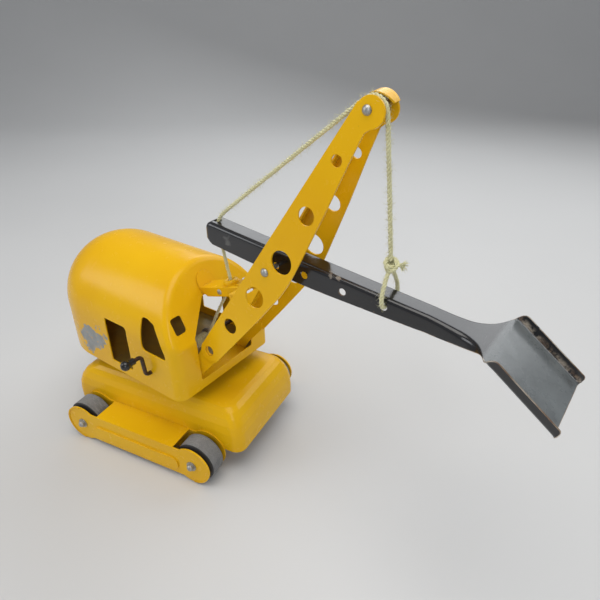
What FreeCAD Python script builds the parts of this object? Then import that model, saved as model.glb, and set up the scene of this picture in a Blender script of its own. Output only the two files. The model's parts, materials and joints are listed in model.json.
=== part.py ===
import FreeCAD, Part
import os
import math

os.makedirs("parts", exist_ok=True)
V = FreeCAD.Vector

# ---------------------------------------------------------------- dimensions (mm)
# Frame: +X along the boom and the long side of the house, +Y left, +Z up.
# The model is built about the slew axis and moved by SHIFT at the end, so that
# the origin is under the middle of the whole toy, on the floor.
SHIFT_X = -126.75
SHIFT_Y = -0.0
SLEW = 9.894           # the undercarriage stands turned by this many degrees

T = 1.2                # pressed steel sheet
# undercarriage, in its own frame before it is turned
WHEEL_R = 22.2
AXLE_X = 72.93
AXLE_R = 2.0
TYRE_IN, TYRE_OUT = 64.7, 85.0
TREAD_HOLE_R = 13.0
FRAME_Y = 89.3         # outer face of the side plates
FRAME_END_R = 21.3
FRAME_LOW = 4.2
STEP_HALF = 50.75
STEP_Z = 38.4
BASE_FRONT, BASE_REAR, BASE_HALF = 113.0, 107.4, 59.5
BASE_LOW, BASE_TOP = 27.4, 75.5
BASE_IN_FRONT, BASE_IN_REAR, BASE_IN_SIDE = 19.1, 35.9, 13.0
BASE_ROUND_Z = 37.0
BASE_CORNER = 11.0
# house
H_LOW = 90.9
H_HALF = 67.1
H_SPRING = 142.9       # where the round roof starts
H_FRONT = 75.8
H_REAR_C = -68.3       # axis of the round rear end
H_FOLD = 147.0         # above this the front leans back
H_LEAN = 0.5
# boom
PIVOT = (152.2, 237.5)
HEAD = (231.5, 369.6)
FOOT = (87.4, 138.8)
SPREAD_Y, SPREAD_Z, SPREAD_K = 22.9, 250.1, 0.107
BT = 1.5
HEAD_C, HEAD_R = (233.7, 369.1), 10.6
FOLDS = ((12.0, 60.0), (84.0, 238.0))   # folded lengths of the rear edge
FOLD_W = 8.0
# dipper
ARM_HALF = 9.5
AT = 1.4
PIN_R = 2.0
RUN = 0.05             # running clearance on a radius
# winch
WINCH = (36.6, 112.6)
CRANK_R = 21.0
# string
STRING_D = 3.4


def shape_out(name, s):
    s = s.copy()
    s.translate(V(SHIFT_X, SHIFT_Y, 0))
    if s.ShapeType == "Compound" and len(s.Solids) == 1:
        s = s.Solids[0]
    s.exportStep("parts/%s.step" % name)
    b = s.BoundBox
    print("%-22s solids %d valid %s vol %.0f  x %.1f..%.1f y %.1f..%.1f z %.1f..%.1f" % (
        name, len(s.Solids), s.isValid(), s.Volume, b.XMin, b.XMax, b.YMin, b.YMax, b.ZMin, b.ZMax))
    ALL.append((name, b))


ALL = []


def out(name, s):
    shape_out(name, s)


def out_base(name, s):
    s = s.copy()
    s.rotate(V(0, 0, 0), V(0, 0, 1), SLEW)
    shape_out(name, s)


def box(x0, x1, y0, y1, z0, z1):
    return Part.makeBox(x1 - x0, y1 - y0, z1 - z0, V(x0, y0, z0))


def cyl_y(x, z, r, y0, y1):
    return Part.makeCylinder(r, y1 - y0, V(x, y0, z), V(0, 1, 0))


def cyl_z(x, y, r, z0, z1):
    return Part.makeCylinder(r, z1 - z0, V(x, y, z0), V(0, 0, 1))


def prism_y(pts, y0, y1):
    """Closed outline of (x, z) points pushed from y0 to y1."""
    w = Part.makePolygon([V(x, y0, z) for x, z in pts] + [V(pts[0][0], y0, pts[0][1])])
    return Part.Face(w).extrude(V(0, y1 - y0, 0))


def prism_x(pts, x0, x1):
    w = Part.makePolygon([V(x0, y, z) for y, z in pts] + [V(x0, pts[0][0], pts[0][1])])
    return Part.Face(w).extrude(V(x1 - x0, 0, 0))


def rounded(pts, radii):
    """Polygon corners (2D) replaced by arcs, as a list of 2D points."""
    res = []
    n = len(pts)
    for i, (p, r) in enumerate(zip(pts, radii)):
        a, b = pts[i - 1], pts[(i + 1) % n]
        if r <= 0:
            res.append(p)
            continue
        ua = (a[0] - p[0], a[1] - p[1])
        ub = (b[0] - p[0], b[1] - p[1])
        la, lb = math.hypot(*ua), math.hypot(*ub)
        ua = (ua[0] / la, ua[1] / la)
        ub = (ub[0] / lb, ub[1] / lb)
        c = max(-0.9999, min(0.9999, ua[0] * ub[0] + ua[1] * ub[1]))
        half = math.acos(c) / 2
        d = min(r / math.tan(half), 0.48 * la, 0.48 * lb)
        rr = d * math.tan(half)
        bis = (ua[0] + ub[0], ua[1] + ub[1])
        lbis = math.hypot(*bis)
        cx = p[0] + bis[0] / lbis * rr / math.sin(half)
        cz = p[1] + bis[1] / lbis * rr / math.sin(half)
        s = (p[0] + ua[0] * d, p[1] + ua[1] * d)
        e = (p[0] + ub[0] * d, p[1] + ub[1] * d)
        a0 = math.atan2(s[1] - cz, s[0] - cx)
        a1 = math.atan2(e[1] - cz, e[0] - cx)
        while a1 - a0 > math.pi:
            a1 -= 2 * math.pi
        while a1 - a0 < -math.pi:
            a1 += 2 * math.pi
        k = max(3, int(abs(a1 - a0) / 0.35) + 1)
        for j in range(k + 1):
            t = a0 + (a1 - a0) * j / k
            res.append((cx + rr * math.cos(t), cz + rr * math.sin(t)))
    return res


def dome_head(x, z, y, out_sign, r=3.7, h=2.3, flat=0.0):
    """A domed rivet head standing on the plane y, pointing along out_sign*Y."""
    R = (r * r + h * h) / (2 * h)
    s = Part.makeSphere(R, V(x, y + out_sign * (h - R), z))
    k = box(x - 9, x + 9, min(y, y + out_sign * 9), max(y, y + out_sign * 9), z - 9, z + 9)
    return s.common(k)


# ---------------------------------------------------------------- undercarriage
def base_ring(z, f, r, s, shrink):
    """Rounded rectangle, as one wire, shrunk by the sheet thickness if asked."""
    x1, x0, y1 = BASE_FRONT - f - shrink, -(BASE_REAR - r - shrink), BASE_HALF - s - shrink
    c = max(2.0, BASE_CORNER - shrink)
    e = []
    q = math.sqrt(0.5)

    def arc(cx, cy, ax, ay, bx, by):
        m = V(cx + c * q * (1 if ax + bx > 0 else -1), cy + c * q * (1 if ay + by > 0 else -1), z)
        e.append(Part.Arc(V(cx + c * ax, cy + c * ay, z), m, V(cx + c * bx, cy + c * by, z)).toShape())

    e.append(Part.LineSegment(V(x1, -y1 + c, z), V(x1, y1 - c, z)).toShape())
    arc(x1 - c, y1 - c, 1, 0, 0, 1)
    e.append(Part.LineSegment(V(x1 - c, y1, z), V(x0 + c, y1, z)).toShape())
    arc(x0 + c, y1 - c, 0, 1, -1, 0)
    e.append(Part.LineSegment(V(x0, y1 - c, z), V(x0, -y1 + c, z)).toShape())
    arc(x0 + c, -y1 + c, -1, 0, 0, -1)
    e.append(Part.LineSegment(V(x0 + c, -y1, z), V(x1 - c, -y1, z)).toShape())
    arc(x1 - c, -y1 + c, 0, -1, 1, 0)
    return Part.Wire(e)


def base_block(shrink, low):
    zs = BASE_TOP - BASE_ROUND_Z
    rings = [base_ring(low, 0, 0, 0, shrink)]
    n = 7
    for i in range(n):
        a = math.pi / 2 * i / (n - 1)
        k = 1 - math.cos(a)
        z = zs + BASE_ROUND_Z * math.sin(a) - shrink * math.sin(a)
        rings.append(base_ring(z, BASE_IN_FRONT * k, BASE_IN_REAR * k, BASE_IN_SIDE * k, shrink))
    low_part = Part.makeLoft(rings[:2], True, True)
    top_part = Part.makeLoft(rings[1:], True, True)
    return low_part.fuse(top_part).removeSplitter()


base = base_block(0, BASE_LOW).cut(base_block(T, BASE_LOW - 1))
base = base.cut(cyl_z(0, 0, 5.05, BASE_TOP - 8, BASE_TOP + 5))
out_base("base_shell", base)

# each side: one stamping, outer plate + flat step + inner plate
def track(side):
    y_out = FRAME_Y
    y_in = BASE_HALF
    def plate(y0, y1, low):
        p = [(-AXLE_X, low), (AXLE_X, low), (AXLE_X, STEP_Z), (-AXLE_X, STEP_Z)]
        s = prism_y(p, y0, y1)
        for sx in (1, -1):
            s = s.fuse(cyl_y(sx * AXLE_X, WHEEL_R, FRAME_END_R, y0, y1))
        return s
    outer = plate(y_out - T, y_out, FRAME_LOW)
    inner = plate(y_in, y_in + T, FRAME_LOW + 3)
    top = box(-STEP_HALF, STEP_HALF, y_in, y_out, STEP_Z - T, STEP_Z)
    s = outer.fuse(inner).fuse(top)
    # pressed rib: the lower half of the outer plate stands proud by 1.6 mm
    rib = rounded([(-56, 9), (56, 9), (56, 25), (-56, 25)], [7, 7, 7, 7])
    proud = prism_y(rib, y_out - 0.2, y_out + 1.6)
    hollow = prism_y(rounded([(-54.8, 10.2), (54.8, 10.2), (54.8, 23.8), (-54.8, 23.8)], [6, 6, 6, 6]), y_out - T - 1, y_out + 0.4)
    s = s.fuse(proud).cut(hollow)
    for sx in (1, -1):
        s = s.cut(cyl_y(sx * AXLE_X, WHEEL_R, AXLE_R, y_in - 5, y_out + 5))
        # rolled rim round each end of the plate
        rim = cyl_y(sx * AXLE_X, WHEEL_R, FRAME_END_R, y_out, y_out + 0.7).cut(cyl_y(sx * AXLE_X, WHEEL_R, FRAME_END_R - 1.6, y_out - 1, y_out + 2))
        keep = box(sx * AXLE_X - (30 if sx < 0 else -1), sx * AXLE_X + (30 if sx > 0 else -1), 80, 100, -5, 60)
        s = s.fuse(rim.common(keep))
    s = s.removeSplitter()
    if side < 0:
        s = s.mirror(V(0, 0, 0), V(0, 1, 0))
    return s


out_base("track_frame_left", track(1))
out_base("track_frame_right", track(-1))

for nm, sx in (("front", 1), ("rear", -1)):
    out_base("axle_" + nm, cyl_y(sx * AXLE_X, WHEEL_R, AXLE_R, -(FRAME_Y + 3.4), FRAME_Y + 3.4))

for nx, sx in (("front", 1), ("rear", -1)):
    for ny, sy in (("left", 1), ("right", -1)):
        x = sx * AXLE_X
        # push-on cap: washer, step and domed nose on the axle end
        y0 = FRAME_Y
        c = cyl_y(x, WHEEL_R, 5.4, y0, y0 + 1.1).fuse(cyl_y(x, WHEEL_R, 3.4, y0 + 1.1, y0 + 3.4))
        c = c.fuse(dome_head(x, WHEEL_R, y0 + 3.4, 1, 3.4, 2.2))
        c = c.cut(cyl_y(x, WHEEL_R, AXLE_R, y0 - 1, y0 + 3.4))
        if sy < 0:
            c = c.mirror(V(0, 0, 0), V(0, 1, 0))
        out_base("axle_cap_%s_%s" % (nx, ny), c)
        hub = cyl_y(x, WHEEL_R, TREAD_HOLE_R, TYRE_IN + 2.0, TYRE_OUT - 2.0)
        hub = hub.fuse(cyl_y(x, WHEEL_R, 5.0, TYRE_IN - 1.8, TYRE_OUT + 1.8))
        hub = hub.cut(cyl_y(x, WHEEL_R, AXLE_R + RUN, 50, 100))
        tyre = cyl_y(x, WHEEL_R, WHEEL_R, TYRE_IN, TYRE_OUT)
        try:
            edges = []
            for e in tyre.Edges:
                if hasattr(e.Curve, "Radius") and abs(e.Curve.Radius - WHEEL_R) < 0.01:
                    edges.append(e)
            tyre = tyre.makeFillet(2.2, edges)
        except Exception:
            pass
        tyre = tyre.cut(cyl_y(x, WHEEL_R, TREAD_HOLE_R, TYRE_IN - 1, TYRE_OUT + 1))
        if sy < 0:
            hub = hub.mirror(V(0, 0, 0), V(0, 1, 0))
            tyre = tyre.mirror(V(0, 0, 0), V(0, 1, 0))
        out_base("wheel_hub_%s_%s" % (nx, ny), hub)
        out_base("tyre_%s_%s" % (nx, ny), tyre)

# turntable drum between the two shells, and the hollow rivet that the house turns on
ring = cyl_z(0, 0, 34, BASE_TOP, H_LOW - 0.3).cut(cyl_z(0, 0, 30, BASE_TOP - 1, H_LOW)).fuse(
    cyl_z(0, 0, 34, H_LOW - 1.8, H_LOW - 0.3)).cut(cyl_z(0, 0, 5.0, BASE_TOP - 1, H_LOW + 1)).removeSplitter()
out_base("turntable", ring)
post = cyl_z(0, 0, 5.0, BASE_TOP - T - 1.6, H_LOW + T + 1.3).fuse(cyl_z(0, 0, 8.5, BASE_TOP - T - 3.2, BASE_TOP - T)).fuse(
    cyl_z(0, 0, 8.5, H_LOW + T + 0.3, H_LOW + T + 1.9)).removeSplitter()
out_base("slew_rivet", post)


# ---------------------------------------------------------------- house
def house_block(s, low):
    """Outer shape of the house, or the same shape in by s on every side but the bottom."""
    r = H_HALF - s
    front = H_FRONT - s
    b = box(H_REAR_C, front, -r, r, low, H_SPRING)
    b = b.fuse(Part.makeCylinder(r, front - H_REAR_C, V(H_REAR_C, 0, H_SPRING), V(1, 0, 0)).common(
        box(H_REAR_C, front, -r - 1, r + 1, H_SPRING - 0.5, H_SPRING + r + 1)))
    b = b.fuse(Part.makeCylinder(r, H_SPRING - low, V(H_REAR_C, 0, low), V(0, 0, 1)).common(
        box(H_REAR_C - r - 1, H_REAR_C + 0.5, -r - 1, r + 1, low, H_SPRING)))
    b = b.fuse(Part.makeSphere(r, V(H_REAR_C, 0, H_SPRING)).common(
        box(H_REAR_C - r - 1, H_REAR_C + 0.5, -r - 1, r + 1, H_SPRING - 0.5, H_SPRING + r + 1)))
    b = b.removeSplitter()
    # the front leans back above the fold
    k = H_LEAN
    zf = H_FOLD - s * (math.sqrt(1 + k * k) - 1) / k
    cutp = [(front, zf), (front - k * (230 - zf), 230), (front + 30, 230), (front + 30, zf)]
    b = b.cut(prism_y(cutp, -90, 90))
    # pressed corners
    rv, ra = 11.0 - s, 8.0 - s
    vert, arch = [], []
    for e in b.Edges:
        bb = e.BoundBox
        if bb.XMin > front - 0.2 and bb.ZLength > 30 and bb.YLength < 0.2 and abs(abs(bb.YMin) - r) < 0.2:
            vert.append(e)
    try:
        b2 = b.makeFillet(rv, vert)
        if b2.isValid() and b2.Volume > 0.9 * b.Volume:
            b = b2
        else:
            print("vertical fillet not valid")
    except Exception as ex:
        print("vertical fillet failed", ex)
    for e in b.Edges:
        bb = e.BoundBox
        if bb.ZMax > H_FOLD + 3 and bb.XMin > 20 and bb.ZLength > 6 and bb.XLength > 3:
            arch.append(e)
    for rr in (ra, ra * 0.7, ra * 0.4):
        try:
            b2 = b.makeFillet(rr, arch)
            if b2.isValid() and b2.Volume > 0.9 * b.Volume:
                b = b2
                print("arch fillet", rr)
                break
        except Exception as ex:
            print("arch fillet failed", rr, ex)
    return b


house = house_block(0, H_LOW).cut(house_block(T, H_LOW - 5))
# windows on both sides: one square, one cut to follow the leaning front
w1 = rounded([(-25.6, 101.4), (7.4, 101.4), (7.4, 152.5), (-25.6, 152.5)], [1.5, 3, 4.5, 1.0])
w2 = rounded([(29.2, 136.0), (62.5, 136.0), (61.6, 143.0), (55.0, 156.5), (46.6, 168.2), (37.0, 171.0), (29.6, 171.0)], [5, 3.5, 3, 4, 3, 3, 3.5])
for side in (1, -1):
    y0, y1 = (40, 90) if side > 0 else (-90, -40)
    house = house.cut(prism_y(w1, y0, y1)).cut(prism_y(w2, y0, y1))
    w3 = rounded([(side * 42.5, 159.3), (side * 55.3, 159.3), (side * 55.3, 175.0), (side * 42.5, 175.0)], [3.2] * 4)
    house = house.cut(prism_x(w3, 40, 95))
# big front opening for the foot of the boom
opening = [(-37.4, 101.0), (37.4, 101.0), (38.9, 150.0), (10.6, 179.5), (-10.6, 179.5), (-38.9, 150.0)]
house = house.cut(prism_x(rounded(opening, [2.5, 2.5, 2, 3, 3, 2]), 35, 95))
# crank shaft holes
house = house.cut(cyl_y(WINCH[0], WINCH[1], PIN_R + RUN, -90, 90))
house = house.removeSplitter()
out("house_shell", house)

# floor of the house, a pan that closes the shell from below
floor = house_block(T + 0.25, H_LOW).common(box(-200, 200, -100, 100, H_LOW, H_LOW + T))
floor = floor.cut(cyl_z(0, 0, 5.0 + RUN, H_LOW - 2, H_LOW + 5))
out("house_floor", floor)


# ---------------------------------------------------------------- boom
def spread(z):
    return SPREAD_Y - SPREAD_K * (z - SPREAD_Z)


def lean_plate(s2d, side):
    """A plate drawn in the XZ plane with thickness towards the middle, tilted to the spread of the boom."""
    s = s2d.copy()
    ang = math.degrees(math.atan(SPREAD_K))
    # plate occupies y in [-BT, 0] for the right side before it is placed
    s.translate(V(0, -SPREAD_Y + BT, 0))
    s.rotate(V(0, -SPREAD_Y, SPREAD_Z), V(1, 0, 0), -ang)
    if side > 0:
        s = s.mirror(V(0, 0, 0), V(0, 1, 0))
    return s


rear_edge = [(79.2, 145.0), (224.0, 375.0)]
front_edge = [(236.6, 360.0), (230.6, 355.6), (222.4, 337.6), (205.0, 296.4), (186.8, 256.0), (181.2, 243.6), (176.4, 233.6), (168.7, 221.0), (148.6, 194.6), (126.0, 166.4), (113.9, 151.6), (95.5, 128.9)]
outline = [rear_edge[0], rear_edge[1], (233.2, 370.0)] + front_edge + [(87.4, 138.8)]
body = prism_y(outline, -BT, 0)
body = body.fuse(cyl_y(HEAD_C[0], HEAD_C[1], HEAD_R, -BT, 0))
ux, uz = rear_edge[1][0] - rear_edge[0][0], rear_edge[1][1] - rear_edge[0][1]
ul = math.hypot(ux, uz)
ux, uz = ux / ul, uz / ul
# nothing of the head stands behind the straight rear edge
behind = [(rear_edge[0][0] + 200 * ux, rear_edge[0][1] + 200 * uz), (rear_edge[0][0] + 320 * ux, rear_edge[0][1] + 320 * uz)]
body = body.cut(prism_y(behind + [(x - 40 * uz, z + 40 * ux) for x, z in behind[::-1]], -5, 5))
body = body.fuse(cyl_y(FOOT[0], FOOT[1], 10.6, -BT, 0))
# the rear edge is folded inwards, except where the stay meets the boom
for s0, s1 in FOLDS:
    a0 = (rear_edge[0][0] + s0 * ux, rear_edge[0][1] + s0 * uz)
    a1 = (rear_edge[0][0] + s1 * ux, rear_edge[0][1] + s1 * uz)
    body = body.fuse(prism_y([a0, a1, (a1[0] + 1.5 * uz, a1[1] - 1.5 * ux), (a0[0] + 1.5 * uz, a0[1] - 1.5 * ux)], -0.5, FOLD_W))
for (hx, hz, hr) in ((87.4, 138.8, 5.2), (113.8, 174.7, 7.4), (141.6, 211.7, 9.6), (168.3, 250.1, 10.0), (189.4, 292.1, 7.2), (211.7, 335.6, 4.4)):
    body = body.cut(cyl_y(hx, hz, hr, -5, 5))
body = body.removeSplitter()
for side, nm in ((-1, "right"), (1, "left")):
    p = lean_plate(body, side)
    for (hx, hz) in (PIVOT, HEAD):
        p = p.cut(cyl_y(hx, hz, PIN_R, -60, 60))
    p = p.removeSplitter()
    out("boom_side_" + nm, p)

# bracket on the floor of the house with two ears for the foot of the boom
ear_y = spread(FOOT[1]) - BT * math.sqrt(1 + SPREAD_K ** 2)


def ear(side):
    pts = [(52, H_LOW + T), (65, H_LOW + T), (73.5, 105.0), (96, 131.0), (96, 143.5), (84, 147.0), (78, 141.0)]
    e = prism_y(rounded(pts, [0, 2, 4, 7, 7, 6, 10]), -BT, 0).cut(cyl_y(FOOT[0], FOOT[1], 4.4, -5, 5))
    return e


bracket = None
for side in (-1, 1):
    e = ear(side)
    e.translate(V(0, -SPREAD_Y + BT, 0))
    ang = math.degrees(math.atan(SPREAD_K))
    e.rotate(V(0, -SPREAD_Y, SPREAD_Z), V(1, 0, 0), -ang)
    e.translate(V(0, BT + 0.02, 0))
    e = e.common(box(0, 200, -80, 80, H_LOW + T, 200))
    if side > 0:
        e = e.mirror(V(0, 0, 0), V(0, 1, 0))
    bracket = e if bracket is None else bracket.fuse(e)
bw = spread(H_LOW) - BT - 2.4
bracket = bracket.fuse(box(48, 70, -bw - 2.2, bw + 2.2, H_LOW + T, H_LOW + 2 * T))
bracket = bracket.removeSplitter()
out("boom_foot_bracket", bracket)

# stay: pressed channel from the roof to the boom
SX0, SZ0, SX1, SZ1 = 56.4, 187.1, 122.0, 207.6
SL = math.atan2(SZ1 - SZ0, SX1 - SX0)
SW = 10.2
GL = 35.5
ln = math.hypot(SX1 - SX0, SZ1 - SZ0)
stay = box(0, ln, -SW, SW, -9.0, 0).cut(box(-1, ln + 1, -SW + T, SW - T, -20, -T))
# tapered rear ends of the flanges, and the wide front end that meets both boom plates
stay = stay.cut(prism_y([(-1, -9.5), (9, -9.5), (-1, -T)], -40, 40))
front_w = spread(207) - BT - 0.9
bar = box(ln - 13, ln, -front_w, front_w, -T, 0).fuse(box(ln - 13, ln, -front_w, front_w, -9, 0).cut(box(ln - 14, ln + 1, -front_w + T, front_w - T, -20, -T)))
stay = stay.fuse(bar)
stay = stay.cut(box(ln - 13, ln + 1, -SW - 0.01, SW + 0.01, -20, -T))
# string hole and the two long slots
stay = stay.cut(cyl_z(GL - 0.6, 0, 4.4, -5, 5))
for sy in (-1, 1):
    stay = stay.cut(box(43.5, 50.5, sy * 5.2 - 0.9, sy * 5.2 + 0.9, -5, 5))
stay.rotate(V(0, 0, 0), V(0, 1, 0), -math.degrees(SL))
stay.translate(V(SX0, 0, SZ0))
# tab that lies on the leaning front, with a round end
tb = math.atan(H_LEAN)
tab = box(0, 3.5, -SW, SW, 0, T).fuse(cyl_z(3.5, 0, SW, 0, T)).fuse(box(-6.0, 0, -SW, SW, 0, T))
# local X runs up the slope
tab.rotate(V(0, 0, 0), V(0, 1, 0), -(90 + math.degrees(tb)))
zt = SZ0 + 0.1
xt = H_FRONT - H_LEAN * (zt - H_FOLD)
off = 0.02
n = V(math.cos(tb), 0, math.sin(tb))
# after the turn the sheet's thickness lies on one side only; set it outside the wall
tab.translate(V(xt, 0, zt))
tab.translate(V(n.x * (T + off), 0, n.z * (T + off)))
stay = stay.fuse(tab).removeSplitter()

# guide eye for the string on the stay
gx, gz = SX0 + GL * math.cos(SL), SZ0 + GL * math.sin(SL)
eye = Part.makeCylinder(7.4, 2.2, V(0, 0, 0.02), V(0, 0, 1)).fuse(Part.makeTorus(5.0, 2.4, V(0, 0, 2.2), V(0, 0, 1)))
eye = eye.cut(cyl_z(0, 0, 3.0, -4, 8)).common(box(-12, 12, -12, 12, 0.02, 9)).removeSplitter()
eye.rotate(V(0, 0, 0), V(0, 1, 0), -math.degrees(SL))
eye.translate(V(gx, 0, gz))
out("string_guide", eye)

# rivet across the flanges of the stay
rx, rz = 83.3, 191.0
for side, nm in ((-1, "right"), (1, "left")):
    y0, y1 = (-SW - 0.2, -SW + T + 0.8) if side < 0 else (SW - T - 0.8, SW + 0.2)
    stay = stay.cut(cyl_y(rx, rz, 1.5, y0 - 1, y1 + 1))
    riv = cyl_y(rx, rz, 1.5, y0, y1).fuse(dome_head(rx, rz, side * SW, side, 2.8, 1.5)).removeSplitter()
    out("stay_rivet_" + nm, riv)
out("boom_stay", stay)

# head of the boom: axle rivet, loose sheave and the guard over it
def through_rivet(x, z, rad, head_r, head_h):
    """Rivet through both boom plates; its heads sit on the sloping outer faces."""
    yo = spread(z) + 0.35
    s = cyl_y(x, z, rad, -yo - 0.2, yo + 0.2)
    for sgn in (1, -1):
        s = s.fuse(dome_head(x, z, sgn * yo, sgn, head_r, head_h))
    return s.removeSplitter()


ax = through_rivet(HEAD[0], HEAD[1], PIN_R, 3.5, 2.4)
pin = through_rivet(PIVOT[0], PIVOT[1], PIN_R, 3.7, 2.6)
# rivet heads are cut back to the plates
plates = lean_plate(body, -1).fuse(lean_plate(body, 1))
ax = ax.cut(plates.cut(cyl_y(HEAD[0], HEAD[1], PIN_R, -60, 60)))
pin = pin.cut(plates.cut(cyl_y(PIVOT[0], PIVOT[1], PIN_R, -60, 60)))
out("head_rivet", max(ax.Solids, key=lambda q_: q_.Volume))
out("pivot_pin", max(pin.Solids, key=lambda q_: q_.Volume))

SHEAVE_R = 5.5
GUARD_Y = 10.0
sh_w = spread(HEAD[1] + 12) - BT - 0.9
sheave = cyl_y(HEAD[0], HEAD[1], SHEAVE_R, -sh_w, -2.6).fuse(cyl_y(HEAD[0], HEAD[1], 7.6, -2.6, sh_w))
sheave = sheave.cut(cyl_y(HEAD[0], HEAD[1], PIN_R + RUN, -20, 20)).removeSplitter()
out("head_sheave", sheave)

# guard over the sheave: a flap bent over from the top of the left plate, with a round free edge
gr = HEAD_R + 0.05
pts_o, pts_i = [], []
for a in range(134, 20, -3):
    t = math.radians(a)
    pts_o.append((HEAD_C[0] + (gr + 1.1) * math.cos(t), HEAD_C[1] + (gr + 1.1) * math.sin(t)))
    pts_i.append((HEAD_C[0] + gr * math.cos(t), HEAD_C[1] + gr * math.sin(t)))
guard = prism_y(pts_o + pts_i[::-1], -6, 12.0)
gc = V(HEAD_C[0], GUARD_Y, HEAD_C[1])
ga = math.radians(80)
guard = guard.common(Part.makeCylinder(12.6, 40, gc, V(math.cos(ga), 0, math.sin(ga))))
guard = guard.common(box(200, 260, -10, spread(HEAD[1] + 11) + 0.1, 360, 400))
guard.rotate(V(HEAD_C[0], GUARD_Y, HEAD_C[1] + gr), V(1, 0, 0), 3.5)
guard = guard.cut(lean_plate(body, 1))
guard = max(guard.Solids, key=lambda q_: q_.Volume)
out("head_guard", guard)

# ---------------------------------------------------------------- dipper arm and scoop, one stamping
def top_z(x):
    return 258.4 - 0.1085 * (x - 80.0)


side_low = [(74.6, 243.0), (79.0, 238.6), (94.4, 236.5), (123.2, 232.9), (179.3, 227.7), (196.0, 226.5), (232.8, 224.8), (266.8, 223.2), (286.0, 222.6)]
X_END = 286.0
side_pts = [(71.2, 251.0), (72.6, 256.6), (78.0, top_z(78.0)), (X_END, top_z(X_END))] + side_low[::-1]
arm_o = prism_y(side_pts, -ARM_HALF, ARM_HALF)
ef = []
for e in arm_o.Edges:
    bb = e.BoundBox
    if bb.YLength < 0.01 and bb.XLength > 150:
        if bb.ZMax > 250:
            ef.append(e)
try:
    a2 = arm_o.makeFillet(3.6, ef)
    if a2.isValid():
        arm_o = a2
except Exception as ex:
    print("arm fillet failed", ex)
inner_pts = [(71.2 + AT, 251.0), (72.6 + AT, 256.6 - 0.7), (78.4, top_z(78.4) - AT), (X_END + 1, top_z(X_END + 1) - AT), (X_END + 1, 205), (74.0, 205), (74.6 + AT, 243.0)]
arm_i = prism_y(inner_pts, -ARM_HALF + AT, ARM_HALF - AT)
ef = []
for e in arm_i.Edges:
    bb = e.BoundBox
    if bb.YLength < 0.01 and bb.XLength > 150 and bb.ZMax > 240:
        ef.append(e)
try:
    a2 = arm_i.makeFillet(2.2, ef)
    if a2.isValid():
        arm_i = a2
except Exception as ex:
    print("arm inner fillet failed", ex)
arm = arm_o.cut(arm_i)


def u_wire(x, w, zt_, zlow, dx=0.0, t=AT):
    """U section, open below: outer and inner outline as one closed wire. dx leans the section."""
    c = min(3.0, 0.4 * (zt_ - zlow))
    zc = zt_ - c
    zi = max(zlow + 0.25 * (zc - zlow), zc - 0.4 * t)
    pts = [(-w, zlow), (-w, zc), (-w + 2.6, zt_), (w - 2.6, zt_), (w, zc), (w, zlow),
           (w - t, zlow), (w - t, zi), (w - 3.2, zt_ - t), (-w + 3.2, zt_ - t), (-w + t, zi), (-w + t, zlow)]
    vs = [V(x + dx * (zt_ - z), y, z) for y, z in pts]
    return Part.makePolygon(vs + [vs[0]])


FLARE = [(X_END - 0.6, 9.5, top_z(X_END - 0.6), 222.6), (300.0, 10.8, 233.6, 222.3), (314.0, 13.6, 232.0, 222.8), (326.0, 18.0, 231.2, 225.0), (334.0, 24.5, 231.6, 228.0), (337.6, 31.2, 232.1, 229.2)]
flare = None
for p0, p1 in zip(FLARE[:-1], FLARE[1:]):
    seg = Part.makeLoft([u_wire(*p0), u_wire(*p1)], True, True)
    print("   flare", seg.isValid(), seg.Volume)
    flare = seg if flare is None else flare.fuse(seg)
arm = arm.fuse(flare)
print("   arm + flare", arm.isValid(), len(arm.Solids), arm.Volume)

# scoop: flat tray with low turned-up sides
SB, SF = (337.3, 231.0), (386.2, 194.6)
sa = math.atan2(SB[1] - SF[1], SF[0] - SB[0])
sl = math.hypot(SF[0] - SB[0], SF[1] - SB[1])
SCW = 32.2
tray = box(-2.2, sl, -SCW, SCW, -AT, 0)
for side in (-1, 1):
    wall = prism_y(rounded([(1.5, -AT), (sl - 0.3, -AT), (sl + 0.6, 4.0), (sl - 1.5, 6.0), (4.0, 6.0), (0.8, 3.2)], [0.5, 1, 2, 3, 2.5, 1]), 0, AT)
    wall.translate(V(0, SCW - AT if side > 0 else -SCW, 0))
    tray = tray.fuse(wall)
tray.rotate(V(0, 0, 0), V(0, 1, 0), math.degrees(sa))
tray.translate(V(SB[0], 0, SB[1]))
arm = arm.fuse(tray)
# holes: pivot, alternate pivots, string eye, string pass at the rear
arm = arm.cut(cyl_y(PIVOT[0], PIVOT[1], PIN_R + RUN, -20, 20))
for hx, hz, hr in ((180.7, 237.0, 3.3), (216.9, 233.4, 3.0), (252.4, 232.2, 3.3)):
    arm = arm.cut(cyl_y(hx, hz, hr, -20, 20))
STR_TOP = (79.6, 257.6)
arm = arm.cut(cyl_z(STR_TOP[0], 0, 3.6, 250, 265))
arm = arm.removeSplitter()
print("dipper solids", len(arm.Solids))
out("dipper_scoop", arm)

# ---------------------------------------------------------------- winch
wx, wz = WINCH
shaft_end = H_HALF + 2.6
throw_y = -(H_HALF + 6.0)
hand_y = -(H_HALF + 24.0)
tx, tz = wx - 2.6, wz + CRANK_R
path = Part.Wire([
    Part.LineSegment(V(wx, shaft_end, wz), V(wx, throw_y + 4.0, wz)).toShape(),
    Part.Arc(V(wx, throw_y + 4.0, wz), V(wx - 0.14, throw_y + 1.17, wz + 1.17), V(wx - 0.49, throw_y, wz + 4.0)).toShape(),
    Part.LineSegment(V(wx - 0.49, throw_y, wz + 4.0), V(tx + 0.49, throw_y, tz - 4.0)).toShape(),
    Part.Arc(V(tx + 0.49, throw_y, tz - 4.0), V(tx + 0.14, throw_y - 1.17, tz - 1.17), V(tx, throw_y - 4.0, tz)).toShape(),
    Part.LineSegment(V(tx, throw_y - 4.0, tz), V(tx, hand_y, tz)).toShape()])
prof = Part.Wire([Part.makeCircle(PIN_R, V(wx, shaft_end, wz), V(0, 1, 0))])
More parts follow.
